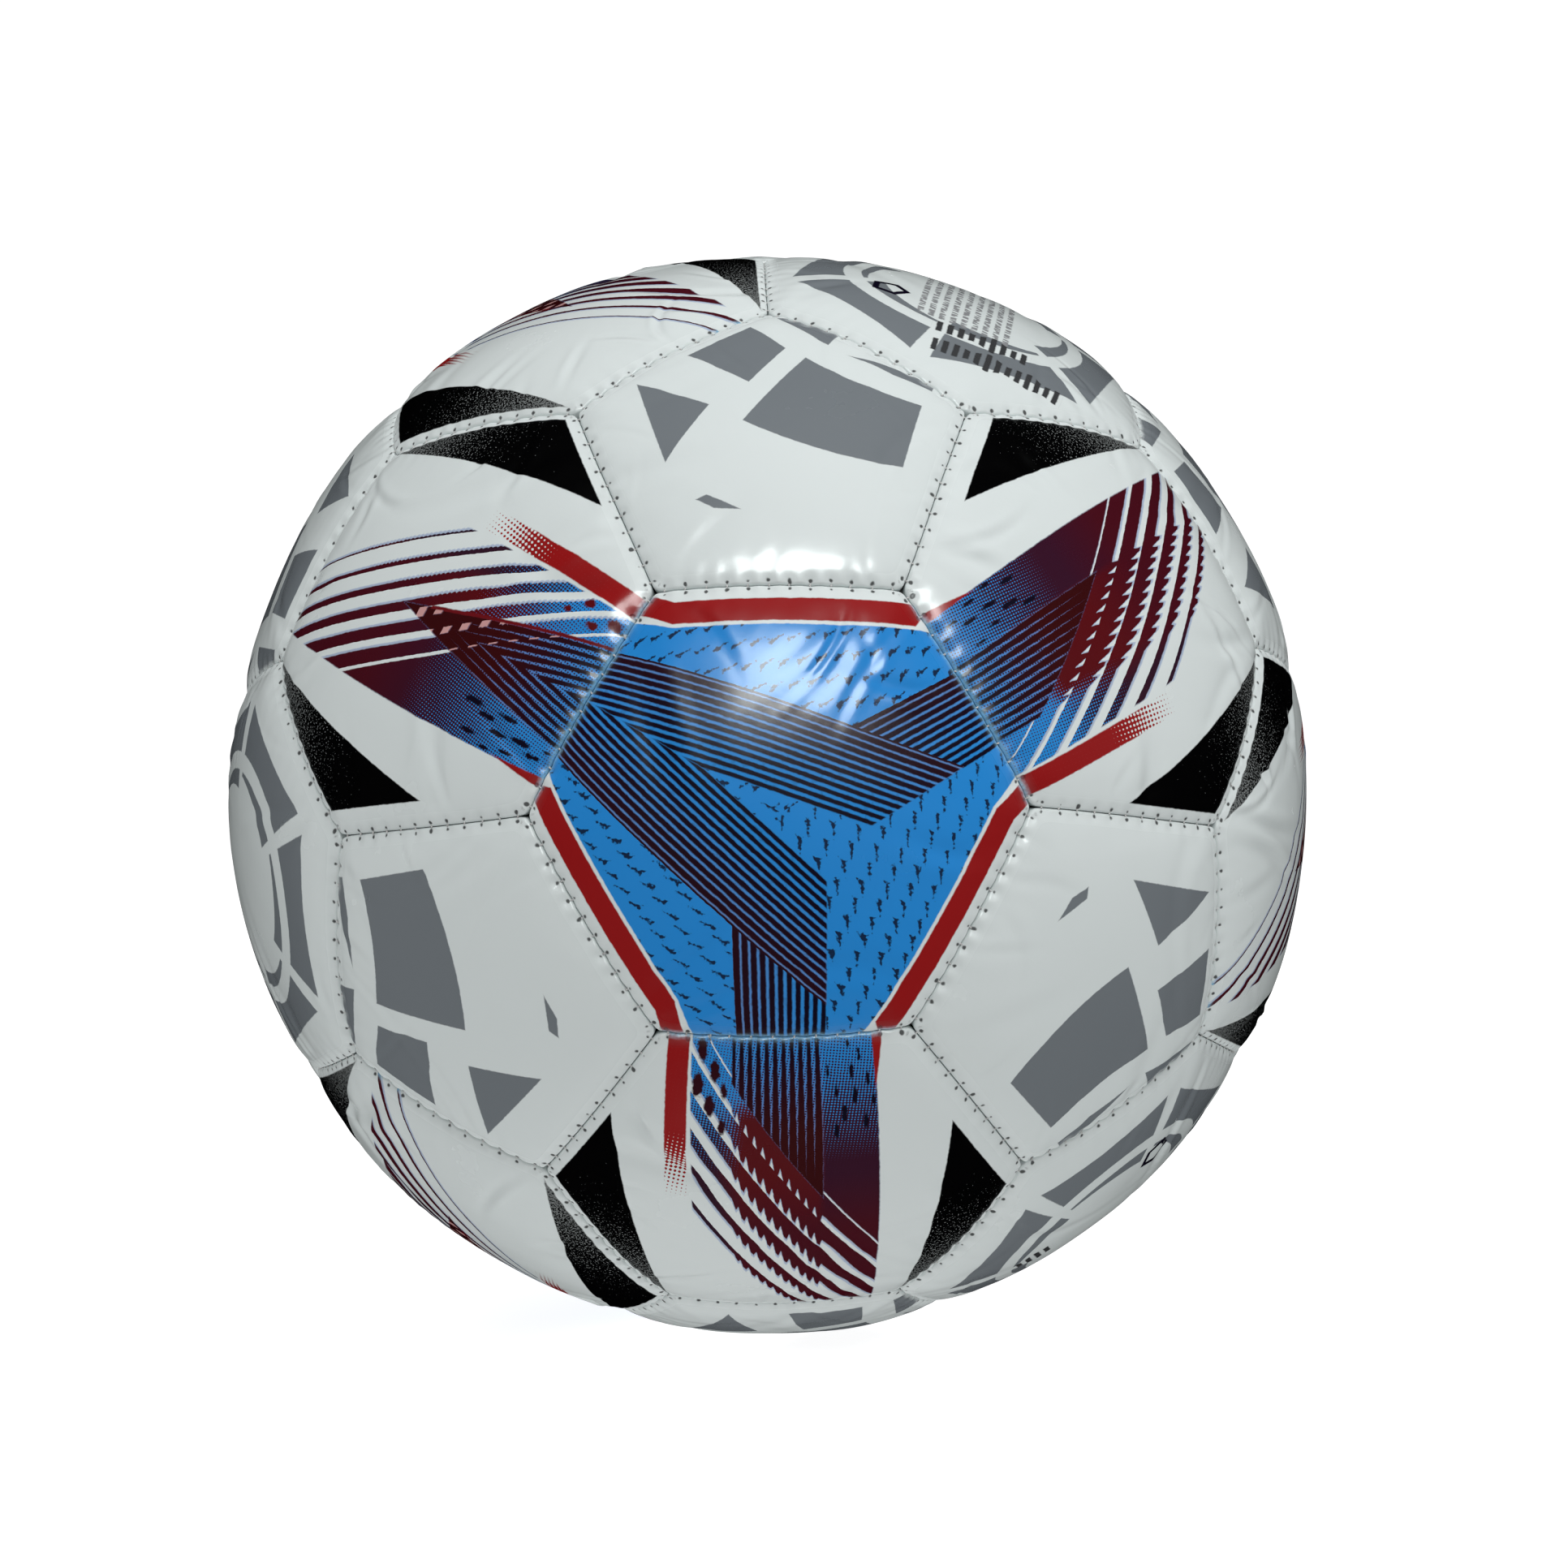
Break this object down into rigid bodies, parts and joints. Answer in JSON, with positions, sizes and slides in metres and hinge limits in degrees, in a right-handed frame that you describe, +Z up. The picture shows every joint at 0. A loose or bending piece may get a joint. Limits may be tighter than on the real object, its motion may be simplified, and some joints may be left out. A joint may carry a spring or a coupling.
{
  "type": "soccer ball",
  "caption": "Machine-stitched soccer ball with printed hexagon and pentagon cover panels, foam and cloth backing, seam threads, a bladder and a needle valve.",
  "frame": {"origin": "the ball's centre", "axes": "-Y faces the front star panel, +Y is the valve's axis, +Z is up and +X is to the right of the front panel"},
  "size_m": [0.22, 0.22, 0.22],
  "materials": {
    "star_cover": "gloss",
    "arm_cover": "gloss",
    "emblem_cover": "gloss",
    "pentagon_cover": "gloss",
    "foam": "matte",
    "lining": "matte",
    "thread": "satin",
    "bladder": "satin",
    "valve_rubber": "matte",
    "valve_core": "satin"
  },
  "bodies": {
    "root": {"arm_panel_1a": "arm_cover", "arm_panel_1b": "arm_cover", "arm_panel_1c": "arm_cover", "arm_panel_2a": "arm_cover", "arm_panel_2b": "arm_cover", "arm_panel_2c": "arm_cover", "arm_panel_3a": "arm_cover", "arm_panel_3b": "arm_cover", "arm_panel_3c": "arm_cover", "arm_panel_4a": "arm_cover", "arm_panel_4b": "arm_cover", "arm_panel_4c": "arm_cover", "bladder": "bladder", "emblem_panel_1": "emblem_cover", "emblem_panel_2": "emblem_cover", "emblem_panel_3": "emblem_cover", "emblem_panel_4": "emblem_cover", "hexagon_foam_pads": "foam", "hexagon_linings": "lining", "pentagon_foam_pads": "foam", "pentagon_linings": "lining", "pentagon_panel_1a": "pentagon_cover", "pentagon_panel_1b": "pentagon_cover", "pentagon_panel_1c": "pentagon_cover", "pentagon_panel_2a": "pentagon_cover", "pentagon_panel_2b": "pentagon_cover", "pentagon_panel_2c": "pentagon_cover", "pentagon_panel_3a": "pentagon_cover", "pentagon_panel_3b": "pentagon_cover", "pentagon_panel_3c": "pentagon_cover", "pentagon_panel_4a": "pentagon_cover", "pentagon_panel_4b": "pentagon_cover", "pentagon_panel_4c": "pentagon_cover", "star_panel_1": "star_cover", "star_panel_2": "star_cover", "star_panel_3": "star_cover", "star_panel_4": "star_cover", "thread_around_pentagons": "thread", "thread_between_hexagons": "thread", "valve_core": "valve_core", "valve_housing": "valve_rubber", "valve_patch": "lining"}
  },
  "joints": []
}
